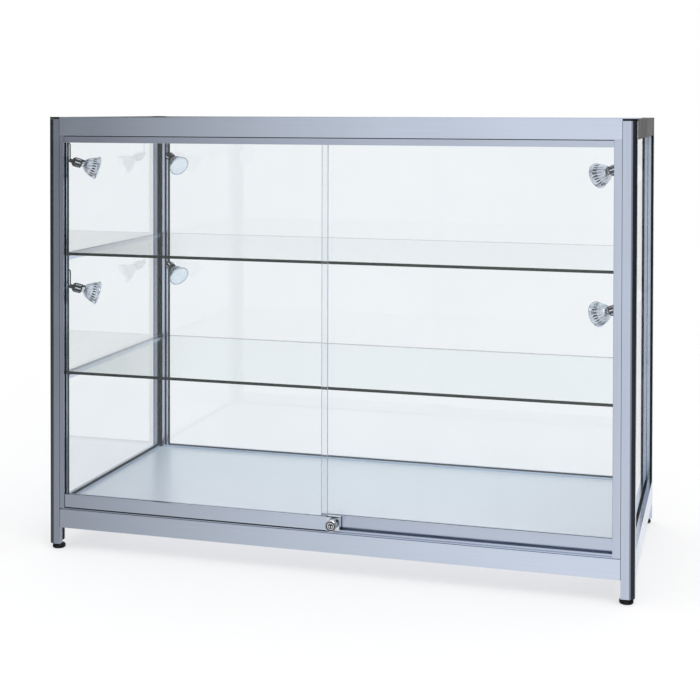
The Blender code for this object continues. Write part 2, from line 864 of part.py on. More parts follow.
def add_lamp(level, corner, head_mesh):
    x, y, _ = CORNERS[corner]
    row = "front" if y < 0 else "rear"
    pivot_y = FRONT + LAMP_INSET_Y[row] if y < 0 else REAR - LAMP_INSET_Y[row]
    pivot = Vector((x * (HALF_X - LAMP_INSET_X[corner]), pivot_y, LAMP_LEVELS[level]))
    angle = math.radians(LAMP_AIM[corner])
    aim = Vector((-x * math.cos(angle), -y * math.sin(angle), 0))
    tilt_axis = Vector((0, 0, 1)).cross(aim)
    facing = Matrix((aim, tilt_axis, (0, 0, 1))).transposed().to_4x4()
    rod = arm_mesh(arm_route(x, y, pivot, ARM_RISE[level]))
    arm = place(f"lamp_arm_{level}_{corner}", rod, "lamp_steel")
    pin_radius, pin_length = KNUCKLE_PIN
    pin = Matrix.Translation(pivot - tilt_axis * pin_length / 2) @ pointing(tilt_axis)
    combine(arm, "UNION", cylinder_mesh(pin_radius, pin_length, 16), pin)
    tilt = Matrix.Rotation(math.radians(LAMP_TILT[row]), 4, "Y")
    place(
        f"lamp_head_{level}_{corner}",
        head_mesh.copy(),
        "lamp_body",
        Matrix.Translation(pivot) @ facing @ tilt,
    )


def add_lamps():
    head_mesh = lamp_head_mesh()
    for level in LAMP_LEVELS:
        for corner in CORNERS:
            add_lamp(level, corner, head_mesh)


def add_transformer():
    """The lamps' transformer, hung under the deck near its rear edge, and its cable bush."""
    length, width, height = TRANSFORMER_SIZE
    top = FRONT_RAIL_TOP
    y = REAR - TRANSFORMER_INSET_REAR
    x = TRANSFORMER_X
    obj = box(
        "lamp_transformer",
        (x - length / 2, y - width / 2, top - height),
        (x + length / 2, y + width / 2, top),
        "transformer_case",
    )
    soften(obj, 0.002, 2)
    end = Matrix.Translation((x - length / 2 - GAP, y, top - height / 2)) @ pointing((-1, 0, 0))
    flange, tip, bush_length = BUSH_STEPS
    profile = [(0, bush_length), (tip, bush_length), (BUSH_RADIUS, flange), (BUSH_RADIUS, 0), (0, 0)]
    place("transformer_cable_bush", turned_mesh(profile, 20), "black_plastic", end)


def main():
    global parts, cutters
    clear_scene()
    parts = new_collection("glass_display_showcase")
    cutters = new_collection("cutters")
    add_materials()
    add_posts()
    add_post_caps()
    add_feet()
    add_rails()
    add_wall_glass()
    add_top_glass()
    add_deck()
    add_shelves()
    add_upper_track()
    add_lower_track()
    add_jambs()
    add_doors()
    add_lock()
    add_lamps()
    add_transformer()


main()
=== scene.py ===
"""Looks of the glass display showcase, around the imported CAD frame.

The frame's own coordinates are used throughout: metres, +Z up, the sliding doors on the -Y side.
A distance called inset is measured inwards from the outer face of the frame on that side.
"""

import json
import math

import bmesh
import bpy
from mathutils import Matrix, Vector


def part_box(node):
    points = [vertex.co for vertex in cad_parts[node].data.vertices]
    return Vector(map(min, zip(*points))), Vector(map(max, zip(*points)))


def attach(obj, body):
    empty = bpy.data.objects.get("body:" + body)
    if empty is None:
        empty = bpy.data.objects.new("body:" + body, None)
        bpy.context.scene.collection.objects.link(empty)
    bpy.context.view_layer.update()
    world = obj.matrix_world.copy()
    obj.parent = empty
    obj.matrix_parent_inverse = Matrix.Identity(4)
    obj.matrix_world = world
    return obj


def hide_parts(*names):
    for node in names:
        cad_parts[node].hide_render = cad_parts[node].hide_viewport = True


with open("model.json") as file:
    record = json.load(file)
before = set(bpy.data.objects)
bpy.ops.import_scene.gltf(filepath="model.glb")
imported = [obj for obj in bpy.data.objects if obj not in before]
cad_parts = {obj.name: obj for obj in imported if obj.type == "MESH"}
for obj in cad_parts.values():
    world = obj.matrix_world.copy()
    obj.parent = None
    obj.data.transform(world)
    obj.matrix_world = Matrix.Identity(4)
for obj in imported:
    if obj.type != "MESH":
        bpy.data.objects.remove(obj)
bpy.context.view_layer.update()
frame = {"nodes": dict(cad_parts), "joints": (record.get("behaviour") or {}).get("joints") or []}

# Driving dimensions, read from the frame
POST_LOW, POST_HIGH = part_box("corner_post_front_left")
REAR_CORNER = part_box("corner_post_rear_right")[1]
HALF_X = REAR_CORNER.x
FRONT = POST_LOW.y
REAR = REAR_CORNER.y
POST = POST_HIGH.x - POST_LOW.x
GLASS_OUT = HALF_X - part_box("side_glass_right")[1].x
GLASS_IN = HALF_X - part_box("side_glass_right")[0].x
RAIL_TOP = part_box("bottom_rail_rear")[1].z
RAIL_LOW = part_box("bottom_rail_rear")[0].z
TOP_RAIL_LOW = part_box("top_rail_rear")[0].z
CORNERS = {
    "front_left": (-1, -1),
    "front_right": (1, -1),
    "rear_right": (1, 1),
    "rear_left": (-1, 1),
}

# Gaps between a strip and its neighbours: along its length, and at its two ends
TOUCH = 0.0002
SLIM_TOUCH = 0.0001
END_GAP = 0.0004
STRIP_HEIGHTS = (RAIL_TOP + END_GAP, TOP_RAIL_LOW - END_GAP)


# Node helpers


def new_material(name):
    """An empty material: the material, its node tree and the tree's output node."""
    material = bpy.data.materials.new(name)
    material.use_nodes = True
    tree = material.node_tree
    tree.nodes.clear()
    output = tree.nodes.new("ShaderNodeOutputMaterial")
    return material, tree, output


def add_node(tree, kind, settings=None, **values):
    """Adds a node. settings are its properties, and values are its inputs with _ for a space."""
    node = tree.nodes.new(kind)
    for key, value in (settings or {}).items():
        setattr(node, key, value)
    for key, value in values.items():
        node.inputs[key.replace("_", " ")].default_value = value
    return node


def coordinates(tree, scale=(1, 1, 1)):
    """Object coordinates. With an uneven scale a noise runs in lines."""
    source = add_node(tree, "ShaderNodeTexCoord")
    mapping = add_node(tree, "ShaderNodeMapping", Scale=scale)
    tree.links.new(source.outputs["Object"], mapping.inputs["Vector"])
    return mapping.outputs["Vector"]


def noise(tree, vector, scale, detail=2.0):
    node = add_node(tree, "ShaderNodeTexNoise", Scale=scale, Detail=detail)
    tree.links.new(vector, node.inputs["Vector"])
    return node.outputs["Fac"]


def ramp(tree, factor, stops):
    """A colour by factor, from (position, colour) stops."""
    node = add_node(tree, "ShaderNodeValToRGB")
    elements = node.color_ramp.elements
    while len(elements) < len(stops):
        elements.new(0.5)
    for element, (position, colour) in zip(elements, stops):
        element.position = position
        element.color = (*colour, 1.0)
    tree.links.new(factor, node.inputs["Fac"])
    return node.outputs["Color"]


def spread(tree, factor, low, high):
    """Maps a noise around its middle to the range low to high."""
    node = add_node(tree, "ShaderNodeMapRange", From_Min=0.3, From_Max=0.7, To_Min=low, To_Max=high)
    tree.links.new(factor, node.inputs["Value"])
    return node.outputs["Result"]


def bump(tree, height, strength, distance):
    node = add_node(tree, "ShaderNodeBump", Strength=strength, Distance=distance)
    tree.links.new(height, node.inputs["Height"])
    return node.outputs["Normal"]


def shade(colour, amount):
    return tuple(channel * amount for channel in colour)


# Materials

# Tints of the rails, of the posts and tracks, and of the top rails at the sides. The last two are
# darker copies of the rail tint: painted shade.
ALUMINIUM_TINT = (0.635, 0.705, 0.835)
SHADED_ALUMINIUM_TINT = (0.53, 0.59, 0.71)
SIDE_RAIL_SHADE_TINT = (0.22, 0.26, 0.29)

# Noise scales that draw lines along an axis
ALONG = 1.5
ACROSS = 420.0
LINES = {
    "X": (ALONG, ACROSS, ACROSS),
    "Y": (ACROSS, ALONG, ACROSS),
    "Z": (ACROSS, ACROSS, ALONG),
}
EDGE_LINES = (40, 40, 900)


def anodised_aluminium(name, axis, colour, rim=1.0):
    """Satin anodised extrusion: die lines along one axis, and a slow drift of tone and gloss.

    rim is the brightness of the reflection at a glancing angle.
    """
    material, tree, output = new_material(name)
    lines = noise(tree, coordinates(tree, LINES[axis]), 3.0, 3.0)
    cloud = noise(tree, coordinates(tree), 9.0, 4.0)
    grain = noise(tree, coordinates(tree), 2600.0, 1.0)
    shader = add_node(
        tree,
        "ShaderNodeBsdfPrincipled",
        Metallic=1.0,
        Specular_Tint=(rim, rim, rim, 1.0),
    )
    tint = ramp(tree, lines, [(0.25, shade(colour, 0.96)), (0.75, shade(colour, 1.03))])
    tree.links.new(tint, shader.inputs["Base Color"])
    tree.links.new(spread(tree, cloud, 0.19, 0.25), shader.inputs["Roughness"])
    fine = bump(tree, grain, 0.08, 0.00003)
    drawn = add_node(tree, "ShaderNodeBump", Strength=0.05, Distance=0.00004)
    tree.links.new(lines, drawn.inputs["Height"])
    tree.links.new(fine, drawn.inputs["Normal"])
    tree.links.new(drawn.outputs["Normal"], shader.inputs["Normal"])
    tree.links.new(shader.outputs["BSDF"], output.inputs["Surface"])
    return material


def black_plastic(name, tone, roughness):
    """Moulded plastic or rubber with a fine texture and paler rubbed patches."""
    material, tree, output = new_material(name)
    vector = coordinates(tree)
    grain = noise(tree, vector, 1400.0, 2.0)
    rubbed = noise(tree, vector, 70.0, 3.0)
    shader = add_node(tree, "ShaderNodeBsdfPrincipled", Specular_IOR_Level=0.2)
    colour = ramp(tree, rubbed, [(0.35, tone), (0.80, shade(tone, 1.8))])
    tree.links.new(colour, shader.inputs["Base Color"])
    tree.links.new(spread(tree, rubbed, roughness, roughness + 0.12), shader.inputs["Roughness"])
    tree.links.new(bump(tree, grain, 0.25, 0.00006), shader.inputs["Normal"])
    tree.links.new(shader.outputs["BSDF"], output.inputs["Surface"])
    return material


def polished_metal(name, tone, low, high):
    """Plated metal with faint polishing marks."""
    material, tree, output = new_material(name)
    vector = coordinates(tree)
    marks = noise(tree, vector, 900.0, 4.0)
    patches = noise(tree, vector, 60.0, 2.0)
    shader = add_node(tree, "ShaderNodeBsdfPrincipled", Metallic=1.0)
    colour = ramp(tree, patches, [(0.3, shade(tone, 0.9)), (0.7, tone)])
    tree.links.new(colour, shader.inputs["Base Color"])
    tree.links.new(spread(tree, patches, low, high), shader.inputs["Roughness"])
    tree.links.new(bump(tree, marks, 0.08, 0.00003), shader.inputs["Normal"])
    tree.links.new(shader.outputs["BSDF"], output.inputs["Surface"])
    return material


def deck_laminate():
    """Pale grey melamine board: fine mottling under a glossy face."""
    material, tree, output = new_material("deck_laminate")
    vector = coordinates(tree)
    speckle = noise(tree, vector, 900.0, 3.0)
    cloud = noise(tree, vector, 3.0, 3.0)
    shader = add_node(tree, "ShaderNodeBsdfPrincipled", Coat_Weight=1.0, Coat_Roughness=0.30)
    tone = (0.85, 0.88, 0.97)
    colour = ramp(tree, speckle, [(0.35, shade(tone, 0.95)), (0.65, shade(tone, 1.04))])
    tree.links.new(colour, shader.inputs["Base Color"])
    tree.links.new(spread(tree, cloud, 0.34, 0.42), shader.inputs["Roughness"])
    tree.links.new(bump(tree, speckle, 0.05, 0.00002), shader.inputs["Normal"])
    tree.links.new(shader.outputs["BSDF"], output.inputs["Surface"])
    return material


def glass_sheet(name, broad, tint, edges, sheen=0.5):
    """Clear sheet glass whose ground edges are solid in colour.

    broad is the axis across the sheet, and edges gives the colour for the edges that face each
    other axis. sheen is the strength of the reflection. Lamps shine through the sheet.
    """
    material, tree, output = new_material(name)
    smear = noise(tree, coordinates(tree), 6.0, 3.0)
    clear = add_node(
        tree,
        "ShaderNodeBsdfPrincipled",
        Roughness=0.0,
        IOR=1.50,
        Specular_IOR_Level=sheen,
        Transmission_Weight=1.0,
    )
    wiped = ramp(tree, smear, [(0.3, shade(tint, 0.985)), (0.7, tint)])
    tree.links.new(wiped, clear.inputs["Base Color"])
    open_to_lamps = add_node(tree, "ShaderNodeBsdfTransparent", Color=(*shade(tint, 1.03), 1.0))
    path = add_node(tree, "ShaderNodeLightPath")
    pane = add_node(tree, "ShaderNodeMixShader")
    tree.links.new(path.outputs["Is Shadow Ray"], pane.inputs["Fac"])
    tree.links.new(clear.outputs["BSDF"], pane.inputs[1])
    tree.links.new(open_to_lamps.outputs["BSDF"], pane.inputs[2])
    surface = pane.outputs["Shader"]
    geometry = add_node(tree, "ShaderNodeNewGeometry")
    facing = add_node(tree, "ShaderNodeSeparateXYZ")
    tree.links.new(geometry.outputs["True Normal"], facing.inputs["Vector"])
    for axis in "XYZ":
        if axis != broad:
            surface = ground_edge(tree, facing.outputs[axis], surface, edges[axis])
    tree.links.new(surface, output.inputs["Surface"])
    return material


def ground_edge(tree, facing, surface, colour):
    """Puts a ground edge over a surface where the normal lies along the given axis."""
    lines = noise(tree, coordinates(tree, EDGE_LINES), 1.0, 3.0)
    edge = add_node(tree, "ShaderNodeBsdfPrincipled", Specular_IOR_Level=0.05)
    tone = ramp(tree, lines, [(0.3, shade(colour, 0.8)), (0.7, shade(colour, 1.3))])
    tree.links.new(tone, edge.inputs["Base Color"])
    tree.links.new(spread(tree, lines, 0.45, 0.6), edge.inputs["Roughness"])
    size = add_node(tree, "ShaderNodeMath", {"operation": "ABSOLUTE"})
    tree.links.new(facing, size.inputs[0])
    on_edge = add_node(tree, "ShaderNodeMath", {"operation": "GREATER_THAN"})
    on_edge.inputs[1].default_value = 0.5
    tree.links.new(size.outputs["Value"], on_edge.inputs[0])
    mixed = add_node(tree, "ShaderNodeMixShader")
    tree.links.new(on_edge.outputs["Value"], mixed.inputs["Fac"])
    tree.links.new(surface, mixed.inputs[1])
    tree.links.new(edge.outputs["BSDF"], mixed.inputs[2])
    return mixed.outputs["Shader"]


def lamp_glass():
    """Pressed glass of a lamp bowl over its mirror coating: pale, slightly cloudy, and glossy."""
    material, tree, output = new_material("lamp_bowl_glass")
    vector = coordinates(tree)
    cloud = noise(tree, vector, 160.0, 3.0)
    shader = add_node(tree, "ShaderNodeBsdfPrincipled", Metallic=0.75, Coat_Weight=0.6)
    tone = (0.68, 0.72, 0.80)
    colour = ramp(tree, cloud, [(0.3, shade(tone, 0.8)), (0.7, shade(tone, 1.15))])
    tree.links.new(colour, shader.inputs["Base Color"])
    tree.links.new(spread(tree, cloud, 0.12, 0.20), shader.inputs["Roughness"])
    tree.links.new(bump(tree, cloud, 0.12, 0.0003), shader.inputs["Normal"])
    tree.links.new(shader.outputs["BSDF"], output.inputs["Surface"])
    return material


def lamp_lens():
    """The lit front glass of a lamp, in small moulded facets."""
    material, tree, output = new_material("lamp_front_glass")
    cells = add_node(tree, "ShaderNodeTexVoronoi", Scale=420.0)
    tree.links.new(coordinates(tree), cells.inputs["Vector"])
    shader = add_node(tree, "ShaderNodeBsdfPrincipled", Roughness=0.15, Emission_Strength=0.35)
    facet = [(0.0, (0.95, 0.97, 1.0)), (0.9, (0.66, 0.71, 0.78))]
    colour = ramp(tree, cells.outputs["Distance"], facet)
    tree.links.new(colour, shader.inputs["Base Color"])
    tree.links.new(colour, shader.inputs["Emission Color"])
    tree.links.new(bump(tree, cells.outputs["Distance"], 0.4, 0.0004), shader.inputs["Normal"])
    tree.links.new(shader.outputs["BSDF"], output.inputs["Surface"])
    return material


def painted_case():
    """Pale enamelled sheet of the transformer's case."""
    material, tree, output = new_material("painted_case")
    vector = coordinates(tree)
    peel = noise(tree, vector, 500.0, 2.0)
    dust = noise(tree, vector, 25.0, 4.0)
    shader = add_node(tree, "ShaderNodeBsdfPrincipled")
    colour = ramp(tree, dust, [(0.3, (0.62, 0.62, 0.60)), (0.7, (0.72, 0.72, 0.70))])
    tree.links.new(colour, shader.inputs["Base Color"])
    tree.links.new(spread(tree, dust, 0.45, 0.6), shader.inputs["Roughness"])
    tree.links.new(bump(tree, peel, 0.2, 0.0001), shader.inputs["Normal"])
    tree.links.new(shader.outputs["BSDF"], output.inputs["Surface"])
    return material


PANE_TINT = (0.935, 0.955, 0.970)
SHELF_TINT = (0.92, 0.965, 0.955)
DARK_EDGE = (0.001, 0.012, 0.008)
PALE_EDGE = (0.36, 0.38, 0.48)
SOFT_EDGE = (0.50, 0.54, 0.62)
DOOR_EDGES = {"X": PALE_EDGE, "Z": DARK_EDGE}
REAR_EDGES = {"X": DARK_EDGE, "Z": DARK_EDGE}
SIDE_EDGES = {"Y": DARK_EDGE, "Z": DARK_EDGE}
TOP_EDGES = {"X": DARK_EDGE, "Y": DARK_EDGE}
SHELF_EDGES = {"X": SOFT_EDGE, "Y": DARK_EDGE}
MATERIALS = {
    "alu_x": anodised_aluminium("aluminium_rail_x", "X", ALUMINIUM_TINT),
    "alu_y": anodised_aluminium("aluminium_rail_y", "Y", ALUMINIUM_TINT),
    "alu_z_painted_shade": anodised_aluminium("aluminium_post_painted_shade", "Z", SHADED_ALUMINIUM_TINT),
    # The top rails at the ends: a darker tint with no glancing reflection, painted shade.
    "alu_side_painted_shade": anodised_aluminium("aluminium_side_rail_painted_shade", "Y", SIDE_RAIL_SHADE_TINT, 0.0),
    "alu_track_painted_shade": anodised_aluminium("aluminium_track_painted_shade", "X", SHADED_ALUMINIUM_TINT),
    "plastic": black_plastic("moulded_black_plastic", (0.006, 0.010, 0.009), 0.42),
    "rubber": black_plastic("gasket_rubber", (0.004, 0.009, 0.007), 0.55),
    # A grey for the strip under the inner door's shoe: softer painted shade.
    "shoe_shade_grey": black_plastic("grey_painted_shade", (0.06, 0.07, 0.08), 0.7),
    "chrome": polished_metal("polished_chrome", (0.74, 0.77, 0.82), 0.06, 0.13),
    "lamp_steel": polished_metal("lamp_steel", (0.10, 0.12, 0.12), 0.20, 0.32),
    "deck": deck_laminate(),
    "door_glass": glass_sheet("door_glass", "Y", PANE_TINT, DOOR_EDGES, 0.05),
    "rear_glass": glass_sheet("rear_glass", "Y", PANE_TINT, REAR_EDGES, 0.1),
    "side_glass_left": glass_sheet("side_glass_left", "X", PANE_TINT, SIDE_EDGES, 0.01),
    "side_glass_right": glass_sheet("side_glass_right", "X", PANE_TINT, SIDE_EDGES, 0.0),
    "top_glass": glass_sheet("top_glass", "Z", PANE_TINT, TOP_EDGES),
    "shelf_glass": glass_sheet("shelf_glass", "Z", SHELF_TINT, SHELF_EDGES),
    "lamp_glass": lamp_glass(),
    "lamp_lens": lamp_lens(),
    "case": painted_case(),
}

# The finish of each CAD node, by the longest start of its name that is listed
CAD_FINISH = {
    # The posts and jambs take the darker copy of the aluminium: painted shade.
    "corner_post": "alu_z_painted_shade",
    "jamb": "alu_z_painted_shade",
    "post_cap": "plastic",
    "levelling_foot": "plastic",
    "bottom_rail_front": "alu_x",
    "bottom_rail_rear": "alu_x",
    "bottom_rail": "alu_y",
    "top_rail_front": "alu_x",
    "top_rail_rear": "alu_x",
    # The top rails at the ends take the painted shade finish.
    "top_rail": "alu_side_painted_shade",
    "rear_glass": "rear_glass",
    "side_glass_left": "side_glass_left",
    "side_glass_right": "side_glass_right",
    "top_glass": "top_glass",
    "base_deck": "deck",
    "glass_shelf": "shelf_glass",
    "shelf_bearer": "alu_y",
    # The tracks and the inner door's shoe take the darker copy of the aluminium: painted shade.
    "upper_track": "alu_track_painted_shade",
    "lower_track": "alu_track_painted_shade",
    "door_glass": "door_glass",
    "door_shoe_left": "alu_x",
    "door_shoe_right": "alu_track_painted_shade",
    "lock": "chrome",
    "lamp_arm": "lamp_steel",
    "lamp_head": "lamp_glass",
    "lamp_transformer": "case",
    "transformer_cable_bush": "plastic",
}


def finish_cad_nodes():
    """Gives each CAD node its finish."""
    for name, obj in frame["nodes"].items():
        key = max((prefix for prefix in CAD_FINISH if name.startswith(prefix)), key=len)
        obj.material_slots[0].material = MATERIALS[CAD_FINISH[key]]


# Mesh helpers


def piece(name, mesh, material, body="root", matrix=None):
    """Adds a mesh to the scene as a piece of the object that rides on a CAD body."""
    mesh.materials.append(MATERIALS[material])
    obj = bpy.data.objects.new(name, mesh)
    bpy.context.scene.collection.objects.link(obj)
    obj.matrix_world = matrix or Matrix.Identity(4)
    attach(obj, body)
    return obj


def mesh_from(bm, name="mesh", smooth_angle=35):
    """A mesh of a bmesh, smooth but for the edges sharper than an angle in degrees."""
    bmesh.ops.recalc_face_normals(bm, faces=bm.faces)
    mesh = bpy.data.meshes.new(name)
    bm.to_mesh(mesh)
    bm.free()
    mesh.shade_smooth()
    mesh.set_sharp_from_angle(angle=math.radians(smooth_angle))
    return mesh


def prism(outline, start, end, along):
    """A flat outline of (first, second) pairs swept along one axis, in the order of the other two."""
    bm = bmesh.new()
    others = [axis for axis in "XYZ" if axis != along]
    ends = []
    for level in (start, end):
        verts = []
        for pair in outline:
            place = dict(zip(others, pair))
            place[along] = level
            verts.append(bm.verts.new((place["X"], place["Y"], place["Z"])))
        ends.append(verts)
    count = len(outline)
    for i in range(count):
        j = (i + 1) % count
        bm.faces.new((ends[0][i], ends[0][j], ends[1][j], ends[1][i]))
    bm.faces.new(ends[0][::-1])
    bm.faces.new(ends[1])
    return bm


def turned(profile, steps, ribs=None):
    """A profile of (distance along X, radius) pairs turned about X.

    ribs gives a radius factor by distance and angle.
    """
    bm = bmesh.new()
    rings = []
    for along, radius in profile:
        if radius == 0:
            rings.append([bm.verts.new((along, 0, 0))])
            continue
        ring = []
        for step in range(steps):
            angle = 2 * math.pi * step / steps
            reach = radius * (ribs(along, angle) if ribs else 1)
            ring.append(bm.verts.new((along, reach * math.cos(angle), reach * math.sin(angle))))
        rings.append(ring)
    for first, second in zip(rings, rings[1:]):
        for i in range(steps):
            j = (i + 1) % steps
            corners = [first[i % len(first)], first[j % len(first)]]
            corners += [second[j % len(second)], second[i % len(second)]]
            unique = list(dict.fromkeys(corners))
            if len(unique) > 2:
                bm.faces.new(unique)
    return bm


# Glazing gaskets and beads


def rounded_strip(low, high, radius, steps=3):
    """A rectangle between two corners with all four corners rounded."""
    points = []
    centres = (
        (high[0] - radius, high[1] - radius),
        (low[0] + radius, high[1] - radius),
        (low[0] + radius, low[1] + radius),
        (high[0] - radius, low[1] + radius),
    )
    for quarter, (x, y) in enumerate(centres):
        for step in range(steps + 1):
            angle = (quarter + step / steps) * math.pi / 2
            points.append((x + radius * math.cos(angle), y + radius * math.sin(angle)))
    return points


def corner_point(corner, inset_x, inset_y):
    """The (x, y) place at two insets from a corner of the frame."""
    x, y = CORNERS[corner]
    return (x * (HALF_X - inset_x), FRONT + inset_y if y < 0 else REAR - inset_y)


def corner_strip(name, corner, low, high, z_range, radius, material="rubber"):
    """An upright strip near a corner, between two pairs of insets."""
    first = corner_point(corner, *low)
    second = corner_point(corner, *high)
    lowest = (min(first[0], second[0]), min(first[1], second[1]))
    highest = (max(first[0], second[0]), max(first[1], second[1]))
    bm = prism(rounded_strip(lowest, highest, radius), *z_range, "Z")
    return piece(name, mesh_from(bm), material)


# Insets of the rubber beads at the posts, by the side glass and by the rear glass. The one by the
# right side glass at the rear stays clear of the glass
SIDE_GASKETS = {
    "front_left": (0.0106, GLASS_OUT - TOUCH),
    "front_right": (0.0106, GLASS_OUT - TOUCH),
    "rear_right": (0.0004, 0.0056),
    "rear_left": (0.0111, GLASS_OUT - TOUCH),
}
BACK_GASKET = (0.0048, GLASS_OUT - TOUCH)
GASKET_PROUD = 0.0016
GASKET_ROUND = 0.0006


def add_post_gaskets():
    """Upright rubber beads at the posts, outside the side glass and the rear glass."""
    near = POST + TOUCH
    far = POST + GASKET_PROUD
    for corner, (outer, inner) in SIDE_GASKETS.items():
        name = f"glazing_gasket_side_{corner}"
        corner_strip(name, corner, (outer, near), (inner, far), STRIP_HEIGHTS, GASKET_ROUND)
        if corner.startswith("rear"):
            outer, inner = BACK_GASKET
            name = f"glazing_gasket_back_{corner}"
            corner_strip(name, corner, (near, outer), (far, inner), STRIP_HEIGHTS, GASKET_ROUND)


def clear_heights():
    """The three stretches of height between the deck, the shelves and the top rails."""
    edges = [RAIL_TOP + END_GAP]
    for level in ("lower", "upper"):
        edges.append(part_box(f"shelf_bearer_{level}_left")[0].z - END_GAP)
        edges.append(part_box(f"glass_shelf_{level}")[1].z + END_GAP)
    edges.append(TOP_RAIL_LOW - END_GAP)
    return list(zip(edges[0::2], edges[1::2]))


# The corner fillet's reach along the side glass and along the rear glass, and its rounding
FILLET = (0.0042, 0.0052)
FILLET_ROUND = 0.0008


def add_corner_fillets():
    """Rubber fillets where the left side glass meets the rear glass, between the shelves."""
    corner = "rear_left"
    near = (GLASS_IN + TOUCH, GLASS_IN + TOUCH)
    far = (GLASS_IN + FILLET[0], GLASS_IN + FILLET[1])
    for index, z_range in enumerate(clear_heights()):
        name = f"corner_fillet_{corner}_{index + 1}"
        corner_strip(name, corner, near, far, z_range, FILLET_ROUND)


# The stripes of the rear bead: name, first and last inset, thickness, finish and slot
BEAD_STRIPES = (
    ("bead_a", 0.0228, 0.0303, 0.0012, "alu_z_painted_shade", "aluminium_frame"),
    ("lip_a", 0.0303, 0.0352, 0.0008, "rubber", "black_plastic"),
    ("bead_b", 0.0352, 0.0395, 0.0012, "alu_z_painted_shade", "aluminium_frame"),
    ("lip_b", 0.0395, 0.0440, 0.0008, "rubber", "black_plastic"),
)
BEAD_ROUND = 0.0002


def add_rear_glazing_beads():
    """The retaining bead at each end of the rear glass: two aluminium ribs and two rubber lips."""
    for corner in ("rear_left", "rear_right"):
        for stripe, start, end, thickness, finish, slot in BEAD_STRIPES:
            name = f"rear_{stripe}_{corner}"
            near = (start, GLASS_IN + TOUCH)
            far = (end, GLASS_IN + thickness)
            corner_strip(name, corner, near, far, STRIP_HEIGHTS, BEAD_ROUND, finish)


# Sill gaskets: insets inside and outside the glass, and heights
SILL_INSIDE = (GLASS_IN + TOUCH, 0.0231)
SILL_OUTSIDE = (0.0095, GLASS_OUT - TOUCH)
SILL_HEIGHT = 0.0012
LOW_SILL = SILL_HEIGHT * 0.7
SILL_ROUND_SHARE = 0.3
SILL_END_GAP = 0.003
REAR_SILL_INSET = 0.0455


def add_sill_gaskets():
    """Rubber wedges along the bottom and top of the fixed glass, inside and outside."""
    foot = RAIL_TOP + SLIM_TOUCH
    head = TOP_RAIL_LOW - SLIM_TOUCH
    rows = {
        "sill_inside": (SILL_INSIDE, foot, RAIL_TOP + SILL_HEIGHT),
        "sill_outside": (SILL_OUTSIDE, foot, RAIL_TOP + LOW_SILL),
        "head_inside": (SILL_INSIDE, TOP_RAIL_LOW - LOW_SILL, head),
        "head_outside": (SILL_OUTSIDE, TOP_RAIL_LOW - LOW_SILL, head),
    }
    for name, ((near, far), low, high) in rows.items():
        radius = (high - low) * SILL_ROUND_SHARE
        for side, sign in (("left", -1), ("right", 1)):
            xs = sorted((sign * (HALF_X - near), sign * (HALF_X - far)))
            outline = rounded_strip((xs[0], low), (xs[1], high), radius)
            bm = prism(outline, FRONT + POST + SILL_END_GAP, REAR - POST - SILL_END_GAP, "Y")
            piece(f"gasket_{name}_{side}", mesh_from(bm), "rubber")
        outline = rounded_strip((REAR - far, low), (REAR - near, high), radius)
        reach = HALF_X - (REAR_SILL_INSET if name.endswith("inside") else POST + SILL_END_GAP)
        bm = prism(outline, -reach, reach, "X")
        piece(f"gasket_{name}_rear", mesh_from(bm), "rubber")


# Seals in the jambs. The lips stand beside the outer door's glass, in the groove's mouth
LIP_REACH = {"front": 0.0034, "back": 0.0016}
LIP_PROUD = 0.0006
LIP_DEPTH = 0.003
LIP_ROUND = 0.0005
DOOR_SEAL_START = 0.0024
DOOR_SEAL_WIDTH = 0.0030
DOOR_SEAL_INSET = 0.0300
DOOR_SEAL_ROUND = 0.0006

# Gaps from these seals to the door's shoe, the upper track, the lower track and the jamb
SHOE_GAP = 0.001
HEAD_GAP = 0.0006
TRACK_GAP = 0.0005
JAMB_GAP = 0.0003


def add_jamb_seals():
    """Two rubber lips in each jamb for the outer door, and a seal behind it for the inner."""
    glass_low, glass_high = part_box("door_glass_left")
    plane = (glass_low.y + glass_high.y) / 2
    half = glass_high.y - plane
    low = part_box("door_shoe_left")[1].z + SHOE_GAP
    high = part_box("upper_track")[0].z - HEAD_GAP
    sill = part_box("lower_track")[1].z + TRACK_GAP
    for side, sign in (("left", -1), ("right", 1)):
        jamb_low, jamb_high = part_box(f"jamb_{side}")
        inner = min(abs(jamb_low.x), abs(jamb_high.x))
        outer = max(abs(jamb_low.x), abs(jamb_high.x))
        lips = {
            "front": (plane - half - LIP_REACH["front"], plane - half - SLIM_TOUCH),
            "back": (plane + half + SLIM_TOUCH, plane + half + LIP_REACH["back"]),
        }
        for place, (near, far) in lips.items():
            xs = sorted((sign * (inner - LIP_PROUD), sign * (inner + LIP_DEPTH)))
            bm = prism(rounded_strip((xs[0], near), (xs[1], far), LIP_ROUND), low, high, "Z")
            piece(f"jamb_seal_{place}_{side}", mesh_from(bm), "rubber")
        start = inner + DOOR_SEAL_START if side == "left" else outer - DOOR_SEAL_WIDTH
        xs = sorted((sign * start, sign * outer))
        front = (xs[0], jamb_high.y + JAMB_GAP)
        back = (xs[1], FRONT + DOOR_SEAL_INSET)
        bm = prism(rounded_strip(front, back, DOOR_SEAL_ROUND), sill, high, "Z")
        piece(f"inner_door_seal_{side}", mesh_from(bm), "rubber")


# Seals in the joints beside the front posts, and dark strips in the joint under the top rail and
# along the doors' shoes that are painted shadow lines

JOINT_GAP = 0.0006
TRACK_SHADOW_HEIGHT = 0.0017
TRACK_SHADOW_ROUND = 0.0002
POST_SEAL_HALF = 0.0004
POST_SEAL_PROUD = 0.00015
POST_SEAL_OFFSET = 0.00015
POST_SEAL_ROUND = 0.0001
SHOE_SHADOW_END_GAP = 0.0006
SHOE_SHADOW_FRONT = 0.0008
SHOE_SHADOW_BACK = 0.0010
SHOE_SHADOW_DROP = 0.0005
SHOE_SHADOW_ROUND = 0.0003

